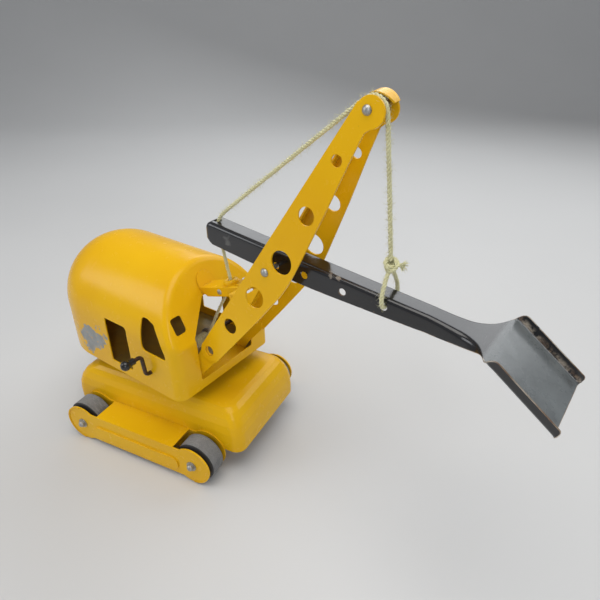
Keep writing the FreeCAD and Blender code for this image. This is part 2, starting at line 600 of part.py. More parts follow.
crank = path.makePipeShell([prof], True, True)
print("crank", crank.isValid(), len(crank.Solids), crank.Volume, "by length", math.pi * PIN_R ** 2 * path.Length)
out("crank_rod", crank)
knob = Part.makeSphere(4.9, V(tx, hand_y, tz)).fuse(cyl_y(tx, tz, 3.4, hand_y, hand_y + 9.5))
knob = knob.cut(cyl_y(tx, tz, PIN_R, hand_y, hand_y + 20)).removeSplitter()
out("crank_knob", knob)
drum = cyl_y(wx, wz, 3.2, -11, 11)
for s_ in (-1, 1):
    y0 = s_ * 11
    drum = drum.fuse(cyl_y(wx, wz, 8.6, min(y0, y0 + s_ * 1.4), max(y0, y0 + s_ * 1.4)))
drum = drum.cut(cyl_y(wx, wz, PIN_R, -20, 20)).removeSplitter()
out("winch_drum", drum)
for nm, y0, y1 in (("shaft_collar_right", -H_HALF + T + 0.4, -H_HALF + T + 4.4), ("shaft_collar_left", H_HALF - T - 4.4, H_HALF - T - 0.4)):
    out(nm, cyl_y(wx, wz, 4.0, y0, y1).cut(cyl_y(wx, wz, PIN_R, -90, 90)))

# turns of string on the drum, one closed ring with the outline of the winding
wind = cyl_y(wx, wz, 5.2, -10.8, 10.8).cut(cyl_y(wx, wz, 3.2, -20, 20))
out("string_winding", wind)

# ---------------------------------------------------------------- string
SR = STRING_D / 2


def tube(points, radii, name):
    """Straight runs with tangent arcs of the given radii at the inner points."""
    edges = []
    cur = V(*points[0])
    for i in range(1, len(points) - 1):
        p0, p, p1 = V(*points[i - 1]), V(*points[i]), V(*points[i + 1])
        a = (p0 - p)
        b = (p1 - p)
        la, lb = a.Length, b.Length
        a.normalize()
        b.normalize()
        ang = math.acos(max(-1, min(1, a.dot(b))))
        turn = math.pi - ang
        r = radii[i - 1]
        d = r * math.tan(turn / 2)
        s = p + a * d
        e = p + b * d
        bis = (a + b)
        bis.normalize()
        m = p + bis * (r / math.cos(turn / 2) - r)
        edges.append(Part.LineSegment(cur, s).toShape())
        edges.append(Part.Arc(s, m, e).toShape())
        print("   %s arc %d: turn %.0f deg radius %.1f" % (name, i, math.degrees(turn), r))
        cur = e
    edges.append(Part.LineSegment(cur, V(*points[-1])).toShape())
    w = Part.Wire(edges)
    t0 = V(*points[1]) - V(*points[0])
    c = Part.Wire([Part.makeCircle(SR, V(*points[0]), t0)])
    s = w.makePipeShell([c], True, False)
    print("   %s length %.1f volume %.0f section x length %.0f" % (name, w.Length, s.Volume, math.pi * SR * SR * w.Length))
    return s, w.Length


# from the winding up through the guide eye, through the arm and out of its top
low_pts = [(wx + 6.1, 0.0, wz - 3.6), (gx - 0.2, 0.0, gz - 0.2), (STR_TOP[0] + 2.5, 0.0, 236.0)]
s_low, L1 = tube(low_pts, [9.0], "string_lower")
out("string_lower", s_low)
# through the arm, up to the head, over the sheave, down to the knot
RW = 10.4
WRAP = (233.4, 367.7)           # the stiff string stands a little clear of the sheave on the outer side
S0 = (STR_TOP[0] + 2.4, 0.0, 236.6)
ys = -5.6
KNOT = (251.2, 0.0, 263.0)
print("sheave wrap radius", RW)
A = V(STR_TOP[0] + 1.2, 0.0, 262.0)
# tangent point from A to the circle of the wrap, in the XZ plane, passing over the top
dx, dz = A.x - WRAP[0], A.z - WRAP[1]
dd = math.hypot(dx, dz)
base_a = math.atan2(dz, dx)
off_a = math.acos(RW / dd)
ta = base_a - off_a
tp = (WRAP[0] + RW * math.cos(ta), WRAP[1] + RW * math.sin(ta))
dx, dz = KNOT[0] - WRAP[0], KNOT[2] + 7 - WRAP[1]
dd = math.hypot(dx, dz)
tb_ = math.atan2(dz, dx) + math.acos(RW / dd)
tq = (WRAP[0] + RW * math.cos(tb_), WRAP[1] + RW * math.sin(tb_))
print("tangent points", tp, tq, math.degrees(ta) % 360, math.degrees(tb_) % 360)
tm_a = (ta % (2 * math.pi) + tb_ % (2 * math.pi)) / 2
tm = (WRAP[0] + RW * math.cos(tm_a), WRAP[1] + RW * math.sin(tm_a))
p_a = V(tp[0], ys, tp[1])
p_m = V(tm[0], ys, tm[1])
p_b = V(tq[0], ys, tq[1])


def plain(points_wire, start, direction, name):
    c = Part.Wire([Part.makeCircle(SR, start, direction)])
    s = points_wire.makePipeShell([c], True, False)
    print("   %s length %.1f volume %.0f section x length %.0f" % (name, points_wire.Length, s.Volume, math.pi * SR * SR * points_wire.Length))
    return s


# upper run, straight from the hole in the arm to the sheave
A0 = V(STR_TOP[0] + 0.4, -0.2, 259.6)
w_up = Part.Wire([Part.LineSegment(A0, p_a + (A0 - p_a) * (0.12 / (A0 - p_a).Length)).toShape()])
s_up = plain(w_up, A0, p_a - A0, "string_upper")
out("string_upper", s_up)
w_wrap = Part.Wire([Part.Arc(p_a, p_m, p_b).toShape()])
tdir = V(-math.sin(ta), 0, math.cos(ta)) * -1
s_wrap = plain(w_wrap, p_a, tdir, "string_wrap")
out("string_wrap", s_wrap)
k_top = V(KNOT[0], KNOT[1], KNOT[2] + 6.4)
p_b1 = p_b + (k_top - p_b) * (0.12 / (k_top - p_b).Length)
w_drop = Part.Wire([Part.LineSegment(p_b1, k_top).toShape()])
s_drop = plain(w_drop, p_b1, k_top - p_b, "string_drop")
out("string_drop", s_drop)
# inside the arm the string runs from the lower side up to the hole in the top
w_in = Part.Wire([Part.LineSegment(V(*S0), V(STR_TOP[0] + 0.3, -0.1, 257.9)).toShape()])
s_in = plain(w_in, V(*S0), V(STR_TOP[0] + 0.3, -0.1, 257.9) - V(*S0), "string_in_arm")
out("string_in_arm", s_in)
# knot and the loop through the two side holes of the arm
kn = Part.makeSphere(5.6, V(*KNOT))
kn = kn.fuse(Part.makeCylinder(2.4, 9, V(KNOT[0] + 3, 1.0, KNOT[2] + 1), V(1, 0.2, 0.25))).removeSplitter()
out("string_knot", kn)
hy = ARM_HALF
leg = [(KNOT[0], -2.0, KNOT[2] - 5.9), (252.0, -(hy + 3.6), 243.0)]
loop_pts = [leg[0], leg[1], (252.5, -(hy + 2.6), 231.4), (252.5, hy + 2.6, 231.4), (leg[1][0], -leg[1][1], leg[1][2]), (leg[0][0], -leg[0][1], leg[0][2])]
s_loop, L5 = tube(loop_pts, [9.0, 2.2, 2.2, 9.0], "string_loop")
out("string_loop", s_loop)

xs = [b.XMin for _, b in ALL] + [b.XMax for _, b in ALL]
ysv = [b.YMin for _, b in ALL] + [b.YMax for _, b in ALL]
zs = [b.ZMin for _, b in ALL] + [b.ZMax for _, b in ALL]
nc = [(n_, b) for n_, b in ALL if not n_.startswith("string_") or n_ == "string_guide"]
print("centre x", (min(b.XMin for _, b in nc) + max(b.XMax for _, b in nc)) / 2, "centre y", (min(b.YMin for _, b in nc) + max(b.YMax for _, b in nc)) / 2)
print("size", max(xs) - min(xs), max(ysv) - min(ysv), max(zs) - min(zs), "low", min(zs))
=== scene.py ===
import bpy
import bmesh
import math
import json
import random
import numpy as np
from mathutils import Vector, Matrix


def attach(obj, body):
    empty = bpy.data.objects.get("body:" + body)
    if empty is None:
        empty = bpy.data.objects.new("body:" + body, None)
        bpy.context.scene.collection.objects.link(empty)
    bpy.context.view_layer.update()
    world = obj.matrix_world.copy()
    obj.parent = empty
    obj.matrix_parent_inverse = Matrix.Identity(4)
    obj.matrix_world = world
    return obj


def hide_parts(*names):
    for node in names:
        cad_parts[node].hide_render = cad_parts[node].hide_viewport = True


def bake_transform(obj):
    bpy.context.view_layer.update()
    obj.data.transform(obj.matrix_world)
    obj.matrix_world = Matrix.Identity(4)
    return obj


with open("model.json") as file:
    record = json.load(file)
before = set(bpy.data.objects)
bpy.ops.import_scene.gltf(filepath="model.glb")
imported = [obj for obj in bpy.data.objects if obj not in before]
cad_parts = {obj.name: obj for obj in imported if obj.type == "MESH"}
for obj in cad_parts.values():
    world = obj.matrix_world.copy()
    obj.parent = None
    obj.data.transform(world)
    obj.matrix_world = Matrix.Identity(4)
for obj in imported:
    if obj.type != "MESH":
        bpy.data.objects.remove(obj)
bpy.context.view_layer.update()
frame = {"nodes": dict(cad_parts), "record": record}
NODES = frame["nodes"]
SX = -126.75                      # the model is drawn about the slew axis, then moved by this much
PSI = math.radians(9.894)
CB, SB_ = math.cos(PSI), math.sin(PSI)


def P(x, y, z):
    return Vector(((x + SX) / 1000.0, y / 1000.0, z / 1000.0))


def PB(x, y, z):
    return P(CB * x - SB_ * y, SB_ * x + CB * y, z)


# ------------------------------------------------------------------ camera
cam_data = bpy.data.cameras.new("view_camera")
cam_data.sensor_width = 36.0
cam_data.lens = 32.656
cam_data.clip_start = 0.01
cam_data.clip_end = 30.0
cam = bpy.data.objects.new("view_camera", cam_data)
bpy.context.scene.collection.objects.link(cam)
F = Vector((-0.51504, 0.69502, -0.50168)).normalized()
R = Vector((0.80344, 0.59539, 0.0))
U = Vector((-0.29870, 0.40307, 0.86506))
cr, sr = 0.999895, -0.014503
R2 = (cr * R + sr * U).normalized()
U2 = (-sr * R + cr * U).normalized()
m = Matrix.Identity(4)
for i in range(3):
    m[i][0], m[i][1], m[i][2] = R2[i], U2[i], -F[i]
m[0][3], m[1][3], m[2][3] = 0.281224, -0.321994, 0.438518
cam.matrix_world = m
bpy.context.scene.camera = cam
bpy.context.scene.view_settings.view_transform = "Standard"


# ------------------------------------------------------------------ materials
class Nodes:
    """Short names for the nodes of one material."""

    def __init__(self, name):
        self.m = bpy.data.materials.new(name)
        self.m.use_nodes = True
        self.t = self.m.node_tree
        self.t.nodes.clear()
        self.out = self.t.nodes.new("ShaderNodeOutputMaterial")
        self.b = self.t.nodes.new("ShaderNodeBsdfPrincipled")
        self.t.links.new(self.b.outputs[0], self.out.inputs[0])
        tc = self.t.nodes.new("ShaderNodeTexCoord")
        self.co = tc.outputs["Object"]

    def put(self, socket, value):
        if isinstance(value, bpy.types.NodeSocket):
            self.t.links.new(value, socket)
        elif isinstance(value, tuple) and len(value) == 3 and socket.type == "RGBA":
            socket.default_value = (*value, 1.0)
        else:
            socket.default_value = value

    def set(self, name, value):
        self.put(self.b.inputs[name], value)

    def noise(self, scale, detail=2.0, rough=0.5, co=None, distort=0.0):
        n = self.t.nodes.new("ShaderNodeTexNoise")
        self.put(n.inputs["Vector"], co or self.co)
        n.inputs["Scale"].default_value = scale
        n.inputs["Detail"].default_value = detail
        n.inputs["Roughness"].default_value = rough
        n.inputs["Distortion"].default_value = distort
        return n.outputs["Fac"]

    def voronoi(self, scale, co=None, feature="F1"):
        n = self.t.nodes.new("ShaderNodeTexVoronoi")
        n.feature = feature
        self.put(n.inputs["Vector"], co or self.co)
        n.inputs["Scale"].default_value = scale
        return n.outputs["Distance"]

    def mapping(self, scale=(1, 1, 1), rot=(0, 0, 0), loc=(0, 0, 0), co=None):
        n = self.t.nodes.new("ShaderNodeMapping")
        self.put(n.inputs["Vector"], co or self.co)
        n.inputs["Scale"].default_value = scale
        n.inputs["Rotation"].default_value = rot
        n.inputs["Location"].default_value = loc
        return n.outputs[0]

    def ramp(self, fac, a, b, lo=0.0, hi=1.0):
        n = self.t.nodes.new("ShaderNodeMapRange")
        n.clamp = True
        self.put(n.inputs["Value"], fac)
        n.inputs["From Min"].default_value = a
        n.inputs["From Max"].default_value = b
        n.inputs["To Min"].default_value = lo
        n.inputs["To Max"].default_value = hi
        return n.outputs[0]

    def math(self, op, a, b=0.0, clamp=False):
        n = self.t.nodes.new("ShaderNodeMath")
        n.operation = op
        n.use_clamp = clamp
        self.put(n.inputs[0], a)
        self.put(n.inputs[1], b)
        return n.outputs[0]

    def mix(self, fac, a, b):
        n = self.t.nodes.new("ShaderNodeMix")
        n.data_type = "RGBA"
        self.put(n.inputs["Factor"], fac)
        self.put(n.inputs["A"], a) if False else self.put([i for i in n.inputs if i.name == "A" and i.type == "RGBA"][0], a)
        self.put([i for i in n.inputs if i.name == "B" and i.type == "RGBA"][0], b)
        return [o for o in n.outputs if o.type == "RGBA"][0]

    def xyz(self, co=None):
        n = self.t.nodes.new("ShaderNodeSeparateXYZ")
        self.put(n.inputs[0], co or self.co)
        return n.outputs

    def edge(self, radius, samples=6):
        """1 on an edge, 0 on a flat face."""
        bv = self.t.nodes.new("ShaderNodeBevel")
        bv.samples = samples
        bv.inputs["Radius"].default_value = radius
        g = self.t.nodes.new("ShaderNodeNewGeometry")
        d = self.t.nodes.new("ShaderNodeVectorMath")
        d.operation = "DOT_PRODUCT"
        self.put(d.inputs[0], bv.outputs[0])
        self.put(d.inputs[1], g.outputs["Normal"])
        return self.math("SUBTRACT", 1.0, d.outputs["Value"], True)

    def round_edges(self, radius):
        bv = self.t.nodes.new("ShaderNodeBevel")
        bv.samples = 6
        bv.inputs["Radius"].default_value = radius
        return bv.outputs[0]

    def bump(self, height, strength, distance, normal=None):
        n = self.t.nodes.new("ShaderNodeBump")
        n.inputs["Strength"].default_value = strength
        n.inputs["Distance"].default_value = distance
        self.put(n.inputs["Height"], height)
        if normal is not None:
            self.put(n.inputs["Normal"], normal)
        return n.outputs[0]

    def ao(self, distance):
        n = self.t.nodes.new("ShaderNodeAmbientOcclusion")
        n.samples = 6
        n.inputs["Distance"].default_value = distance
        return n.outputs["AO"]


YEL_A = (0.850, 0.490, 0.006)
YEL_B = (0.790, 0.425, 0.005)


def yellow_enamel(name, round_mm=0.45, patch=False, specks=1.0, chips=1.0):
    n = Nodes(name)
    big = n.noise(9.0, 3.0)
    col = n.mix(n.ramp(big, 0.35, 0.65), YEL_A, YEL_B)
    # painted shade: a dark brown, broken up by noise, darkens corners and the places under folds where ambient
    # occlusion is low; the same mask makes them rougher
    painted_corner_shade = n.math("MULTIPLY", n.ramp(n.ao(0.012), 0.75, 0.15), n.ramp(n.noise(70.0, 4.0, 0.6), 0.35, 0.75))
    col = n.mix(n.math("MULTIPLY", painted_corner_shade, 0.75), col, (0.21, 0.095, 0.012))
    # fine specks of dirt in the gloss
    sp = n.ramp(n.noise(430.0, 3.0, 0.7), 0.705, 0.76)
    sp = n.math("MULTIPLY", sp, n.ramp(n.noise(26.0, 2.0), 0.52, 0.68))
    col = n.mix(n.math("MULTIPLY", sp, 0.8 * specks), col, (0.16, 0.06, 0.015))
    # chips on the edges, down to dark primer
    e = n.edge(0.0009)
    chip = n.math("MULTIPLY", n.ramp(e, 0.03, 0.12), n.ramp(n.noise(150.0, 4.0, 0.65), 0.63, 0.67))
    chip = n.math("MULTIPLY", chip, n.ramp(n.noise(17.0, 1.0), 0.50, 0.60))
    col = n.mix(n.math("MULTIPLY", chip, 0.9 * chips), col, (0.11, 0.055, 0.025))
    rough = n.ramp(n.noise(120.0, 4.0, 0.6), 0.3, 0.7, 0.20, 0.29)
    rough = n.math("ADD", rough, n.math("MULTIPLY", painted_corner_shade, 0.25))
    if patch:
        # what is left of a silver label on the right wall: bare, torn, nothing printed on it
        x, y, z = n.xyz()
        pz = n.math("SUBTRACT", z, 0.1160)
        px = n.math("SUBTRACT", n.math("SUBTRACT", x, (-57.0 + SX) / 1000.0), n.math("MULTIPLY", pz, 0.35))
        wide = n.math("ADD", 0.0200, n.math("MULTIPLY", pz, 0.35))
        d = n.math("SQRT", n.math("ADD", n.math("POWER", n.math("DIVIDE", px, wide), 2.0), n.math("POWER", n.math("DIVIDE", pz, 0.0165), 2.0)))
        d = n.math("ADD", d, n.ramp(n.noise(95.0, 5.0, 0.65), 0.25, 0.75, -0.62, 0.62))
        on = n.ramp(d, 1.0, 0.93)
        on = n.math("MULTIPLY", on, n.ramp(y, -0.064, -0.066))
        tear = n.ramp(n.noise(210.0, 4.0, 0.7), 0.60, 0.64)
        on = n.math("MULTIPLY", on, n.math("SUBTRACT", 1.0, n.math("MULTIPLY", tear, 0.85)))
        grey = n.mix(n.noise(160.0, 3.0), (0.20, 0.21, 0.21), (0.43, 0.44, 0.43))
        col = n.mix(on, col, grey)
        rough = n.math("ADD", rough, n.math("MULTIPLY", on, 0.22))
    n.set("Base Color", col)
    n.set("Roughness", rough)
    n.b.inputs["IOR"].default_value = 1.45
    n.b.inputs["Specular IOR Level"].default_value = 0.26
    nor = n.round_edges(round_mm / 1000.0) if round_mm else None
    h = n.math("ADD", n.noise(260.0, 2.0), n.math("MULTIPLY", n.noise(34.0, 2.0), 0.8))
    n.set("Normal", n.bump(h, 0.10, 0.0006, nor))
    return n.m


def black_enamel(name):
    n = Nodes(name)
    x, y, z = n.xyz()
    wear_noise = n.noise(120.0, 5.0, 0.65)
    e = n.edge(0.0011, 8)
    edge = n.math("MULTIPLY", n.ramp(e, 0.02, 0.10), n.ramp(n.math("ADD", wear_noise, n.ramp(x, 0.12, 0.21, -0.02, 0.16)), 0.53, 0.58))
    # rubbed patches where the string and fingers touch the arm
    rub = n.math("MULTIPLY", n.ramp(n.noise(75.0, 5.0, 0.6), 0.665, 0.685), n.ramp(n.math("ABSOLUTE", n.math("SUBTRACT", x, 0.120)), 0.055, 0.012))
    wear = n.math("MAXIMUM", edge, n.math("MULTIPLY", rub, 0.9))
    wear0 = wear
    metal = n.mix(n.ramp(n.noise(210.0, 3.0), 0.35, 0.65), (0.40, 0.27, 0.16), (0.22, 0.10, 0.045))
    metal = n.mix(n.ramp(n.noise(60.0, 2.0), 0.42, 0.58), metal, (0.58, 0.50, 0.40))
    base = n.mix(n.ramp(n.noise(14.0, 4.0), 0.3, 0.7), (0.0085, 0.0085, 0.010), (0.016, 0.016, 0.018))
    # painted reflection: the floor of the scoop gets a light blue-grey over the black, broken up by noise, and is made
    # rougher
    h = n.math("ADD", n.math("MULTIPLY", n.math("SUBTRACT", x, 0.21055), 0.598), n.math("MULTIPLY", n.math("SUBTRACT", z, 0.231), 0.802))
    on_floor = n.math("MULTIPLY", n.ramp(h, 0.0016, 0.0004), n.ramp(h, -0.0030, -0.0014))
    scoop = n.ramp(x, 0.200, 0.213)
    painted_floor_reflection = n.math("MULTIPLY", n.math("MULTIPLY", scoop, on_floor), n.ramp(n.noise(28.0, 5.0, 0.7), 0.25, 0.75, 0.65, 1.0))
    base = n.mix(painted_floor_reflection, base, n.mix(n.ramp(n.noise(60.0, 5.0, 0.7), 0.3, 0.7), (0.135, 0.150, 0.155), (0.185, 0.205, 0.210)))
    on_wall = n.math("MULTIPLY", n.ramp(h, 0.0010, 0.0022), scoop)
    on_wall = n.math("MULTIPLY", on_wall, n.ramp(n.math("ABSOLUTE", y), 0.0320, 0.0317))
    rust = n.math("MULTIPLY", on_wall, n.math("MULTIPLY", n.ramp(n.noise(240.0, 6.0, 0.7), 0.44, 0.60), n.ramp(h, 0.0062, 0.0022)))
    scr = n.noise(1.0, 3.0, 0.6, n.mapping((30.0, 900.0, 30.0), (0, 0.62, 0.35)))
    scr2 = n.noise(1.0, 3.0, 0.6, n.mapping((900.0, 40.0, 60.0), (0, 0.2, 0.9)))
    scratch = n.math("MAXIMUM", n.ramp(scr, 0.70, 0.74), n.ramp(scr2, 0.71, 0.75))
    base = n.mix(n.math("MULTIPLY", scratch, 0.35), base, (0.20, 0.20, 0.19))
    wear = n.math("MAXIMUM", wear0, n.math("MULTIPLY", rust, 0.75))
    col = n.mix(wear, base, metal)
    n.set("Base Color", col)
    rough = n.ramp(n.noise(90.0, 5.0, 0.65), 0.3, 0.7, 0.12, 0.22)
    rough = n.math("ADD", rough, n.math("MULTIPLY", painted_floor_reflection, 0.14))
    rough = n.math("ADD", rough, n.math("MULTIPLY", wear, 0.38))
    n.set("Roughness", rough)
    n.b.inputs["IOR"].default_value = 1.52
    n.b.inputs["Coat Weight"].default_value = 0.25
    n.b.inputs["Coat Roughness"].default_value = 0.12
    h = n.math("SUBTRACT", n.math("MULTIPLY", n.noise(240.0, 3.0), 0.5), wear)
    h = n.math("ADD", h, n.math("MULTIPLY", n.noise(38.0, 3.0), 1.2))
    n.set("Normal", n.bump(h, 0.16, 0.0005, n.round_edges(0.0005)))
    return n.m


def zinc(name, tone=(0.52, 0.52, 0.50), rust=0.4, rough=(0.38, 0.55)):
    n = Nodes(name)
    spangle = n.voronoi(420.0)
    col = n.mix(n.ramp(spangle, 0.0, 0.6), tone, tuple(c * 0.78 for c in tone))
    r = n.math("MULTIPLY", n.ramp(n.noise(230.0, 5.0, 0.7), 0.58, 0.68), rust)
    r = n.math("MAXIMUM", r, n.math("MULTIPLY", n.ramp(n.ao(0.004), 0.55, 0.1), 0.5))
    col = n.mix(r, col, (0.15, 0.085, 0.05))
    n.set("Base Color", col)
    n.set("Metallic", n.ramp(r, 0.0, 1.0, 0.95, 0.2))
    n.set("Roughness", n.math("ADD", n.ramp(n.noise(300.0, 4.0), 0.3, 0.7, *rough), n.math("MULTIPLY", r, 0.3)))
    n.set("Normal", n.bump(n.noise(520.0, 3.0), 0.18, 0.0004, n.round_edges(0.0003)))
    return n.m


def rubber(name, tread):
    n = Nodes(name)
    dust = n.ramp(n.noise(55.0, 5.0, 0.65), 0.3, 0.7)
    fine = n.noise(600.0, 3.0, 0.7)
    if tread:
        col = n.mix(dust, (0.130, 0.130, 0.132), (0.270, 0.270, 0.266))
        col = n.mix(n.ramp(n.noise(1.0, 4.0, 0.6, n.mapping((140.0, 700.0, 140.0), (0, 0, -PSI))), 0.52, 0.72), col, (0.26, 0.26, 0.25))
        col = n.mix(n.ramp(fine, 0.60, 0.74), col, (0.33, 0.33, 0.32))
        n.set("Roughness", n.ramp(dust, 0.0, 1.0, 0.52, 0.82))
    else:
        col = n.mix(dust, (0.010, 0.010, 0.010), (0.030, 0.029, 0.028))
        n.set("Roughness", n.ramp(dust, 0.0, 1.0, 0.42, 0.7))
    n.set("Base Color", col)
    n.set("Normal", n.bump(n.math("ADD", fine, n.noise(150.0, 3.0)), 0.25, 0.0004))
    return n.m


def twine(name):
    n = Nodes(name)
    fib = n.noise(1400.0, 4.0, 0.7)
    col = n.mix(n.ramp(n.noise(90.0, 3.0), 0.3, 0.7), (0.66, 0.64, 0.34), (0.57, 0.53, 0.25))
    col = n.mix(n.ramp(fib, 0.40, 0.72), col, (0.83, 0.82, 0.60))
    soil = n.ramp(n.noise(22.0, 3.0), 0.58, 0.74)
    col = n.mix(n.math("MULTIPLY", soil, 0.35), col, (0.38, 0.28, 0.15))
    n.set("Base Color", col)
    n.set("Roughness", n.ramp(fib, 0.3, 0.7, 0.78, 0.95))
    n.b.inputs["Sheen Weight"].default_value = 0.45
    n.b.inputs["Sheen Roughness"].default_value = 0.5
    n.b.inputs["Subsurface Weight"].default_value = 0.0
    n.set("Normal", n.bump(fib, 0.5, 0.0004))
    return n.m


def moulded(name, a, b, rough=(0.18, 0.30)):
    n = Nodes(name)
    n.set("Base Color", n.mix(n.ramp(n.noise(200.0, 4.0, 0.6), 0.35, 0.7), a, b))
    n.set("Roughness", n.ramp(n.noise(330.0, 4.0, 0.65), 0.3, 0.7, *rough))
    n.b.inputs["Coat Weight"].default_value = 0.2
    n.set("Normal", n.bump(n.noise(420.0, 3.0), 0.12, 0.0004))
    return n.m


def wire(name):
    n = Nodes(name)
    worn = n.ramp(n.noise(180.0, 5.0, 0.7), 0.52, 0.66)
    n.set("Base Color", n.mix(worn, (0.030, 0.016, 0.010), (0.17, 0.085, 0.045)))
    n.set("Metallic", n.ramp(worn, 0.0, 1.0, 0.15, 0.6))
    n.set("Roughness", n.ramp(n.noise(260.0, 4.0), 0.3, 0.7, 0.26, 0.46))
    n.set("Normal", n.bump(n.noise(380.0, 4.0), 0.25, 0.0004))
    return n.m


def shaded_yellow_floor(name):
    """Inside of the house: painted shade, the yellow floor drawn as a darker olive, with spots of bare steel."""
    n = Nodes(name)
    # painted shade: darker olive tones stand in for the yellow enamel in the shade of the house
    col = n.mix(n.ramp(n.noise(30.0, 5.0, 0.65), 0.3, 0.7), (0.36, 0.235, 0.035), (0.21, 0.165, 0.055))
    col = n.mix(n.ramp(n.noise(150.0, 5.0, 0.7), 0.60, 0.70), col, (0.16, 0.14, 0.10))
    n.set("Base Color", col)
    n.set("Roughness", n.ramp(n.noise(120.0, 4.0), 0.3, 0.7, 0.34, 0.55))
    n.set("Normal", n.bump(n.noise(200.0, 4.0), 0.2, 0.0005, n.round_edges(0.0004)))
    return n.m


M = {
    "yellow": yellow_enamel("yellow_enamel_mat"),
    "yellow_house": yellow_enamel("yellow_enamel_house_mat", patch=True),
    "yellow_frame": yellow_enamel("yellow_enamel_frame_mat", specks=1.3, chips=1.3),
    "black": black_enamel("black_enamel_mat"),
    "zinc": zinc("zinc_mat"),
    "sheave": zinc("sheave_mat", (0.42, 0.41, 0.39), 0.7, (0.32, 0.5)),
    "tread": rubber("tread_mat", True),
    "side": rubber("side_mat", False),
    "hub": moulded("hub_mat", (0.012, 0.012, 0.012), (0.03, 0.03, 0.03), (0.35, 0.5)),
    "knob": moulded("knob_mat", (0.008, 0.008, 0.008), (0.018, 0.017, 0.016)),
    "wire": wire("wire_mat"),
    "twine": twine("twine_mat"),
    "floor_painted_shade": shaded_yellow_floor("floor_painted_shade_mat"),
}
BY_SLOT = {
    "yellow_enamel": "yellow", "black_enamel": "black", "tyre_rubber": "side", "wheel_hub": "hub",
    "bright_steel": "zinc", "dark_wire": "wire", "knob_black": "knob", "sheave_steel": "sheave", "twine": "twine",
}


def dress(o, key):
    o.data.materials.clear()
    o.data.materials.append(M[key])


for sp in frame["record"]["subparts"]:
    dress(NODES[sp["node"]], BY_SLOT[sp["material_slot"]])
dress(NODES["house_shell"], "yellow_house")
# the house floor gets the darker olive copy of the yellow, painted shade
dress(NODES["house_floor"], "floor_painted_shade")
for side in ("left", "right"):
    dress(NODES["track_frame_" + side], "yellow_frame")


# ------------------------------------------------------------------ mesh helpers
def mesh_object(name, verts, faces, mats, smooth=True, face_mats=None):
    me = bpy.data.meshes.new(name)
    me.from_pydata([tuple(v) for v in verts], [], faces)
    me.validate()
    for k in mats:
        me.materials.append(M[k])
    if face_mats is not None:
        for p, i in zip(me.polygons, face_mats):
            p.material_index = i
    for p in me.polygons:
        p.use_smooth = smooth
    me.update()
    o = bpy.data.objects.new(name, me)
    bpy.context.scene.collection.objects.link(o)
    return o


def route(points):
    """Points down a smooth NURBS line through the route, in the row frame."""
    cu = bpy.data.curves.new("route", "CURVE")
    cu.dimensions = "3D"
    sp = cu.splines.new("NURBS")
    sp.points.add(len(points) - 1)
    for q, p in zip(sp.points, points):
        q.co = (*p, 1.0)
    sp.order_u = 3
    sp.use_endpoint_u = True
    cu.resolution_u = 24
    ob = bpy.data.objects.new("route", cu)
    me = bpy.data.meshes.new_from_object(ob)
    line = np.array([v.co for v in me.vertices], float).reshape(-1, 3)
    bpy.data.objects.remove(ob)
    bpy.data.curves.remove(cu)
    bpy.data.meshes.remove(me)
    keep = [0]
    for i in range(1, len(line)):
        if np.linalg.norm(line[i] - line[keep[-1]]) > 1e-6:
            keep.append(i)
    return line[keep]


def even(line, step):
    s = np.concatenate([[0], np.cumsum(np.linalg.norm(np.diff(line, axis=0), axis=1))])
    at = np.linspace(0, s[-1], max(3, int(s[-1] / step) + 1))
    return np.stack([np.interp(at, s, line[:, k]) for k in range(3)], axis=1), s[-1]


def frames(line):
    """Tangent and two normals along a line, without twist."""
    t = np.gradient(line, axis=0)
    t /= np.linalg.norm(t, axis=1)[:, None]
    a = np.cross(t[0], [0.0, 1.0, 0.0])
    if np.linalg.norm(a) < 0.2:
        a = np.cross(t[0], [1.0, 0.0, 0.0])
    a /= np.linalg.norm(a)
    us = [a]
    for i in range(1, len(line)):
        u = us[-1] - t[i] * np.dot(us[-1], t[i])
        us.append(u / np.linalg.norm(u))
    u = np.array(us)
    return t, u, np.cross(t, u)


def tube_mesh(line, radii, sides, verts, faces, cap=True):
    t, u, v = frames(line)
    base = len(verts)
    for i in range(len(line)):
        for k in range(sides):
            a = 2 * math.pi * k / sides
            verts.append(line[i] + radii[i] * (math.cos(a) * u[i] + math.sin(a) * v[i]))
    for i in range(len(line) - 1):
        for k in range(sides):
            k2 = (k + 1) % sides
            faces.append((base + i * sides + k, base + i * sides + k2, base + (i + 1) * sides + k2, base + (i + 1) * sides + k))
    if cap:
        faces.append(tuple(base + k for k in range(sides))[::-1])
        faces.append(tuple(base + (len(line) - 1) * sides + k for k in range(sides)))


def strands(line, dia, pitch, verts, faces, phase=0.0, step=0.0006, rng=None):
    """A three-strand rope of that diameter along the line."""
    pts, length = even(line, step)
    t, u, v = frames(pts)
    rs, ro = dia * 0.248, dia * 0.270
    s = np.linspace(0, length, len(pts))
    for k in range(3):
        a = phase + 2 * math.pi * (s / pitch + k / 3.0)
        wob = 1.0
        if rng is not None:
            w = np.interp(s, np.linspace(0, length, max(3, int(length / 0.004))), rng.normal(0, 1, max(3, int(length / 0.004))))
            wob = 1.0 + 0.05 * w
        q = pts + ro * (np.cos(a)[:, None] * u + np.sin(a)[:, None] * v) * (wob[:, None] if rng is not None else 1.0)
        rr = np.full(len(pts), rs) * (wob if rng is not None else 1.0)
        tube_mesh(q, rr, 8, verts, faces)


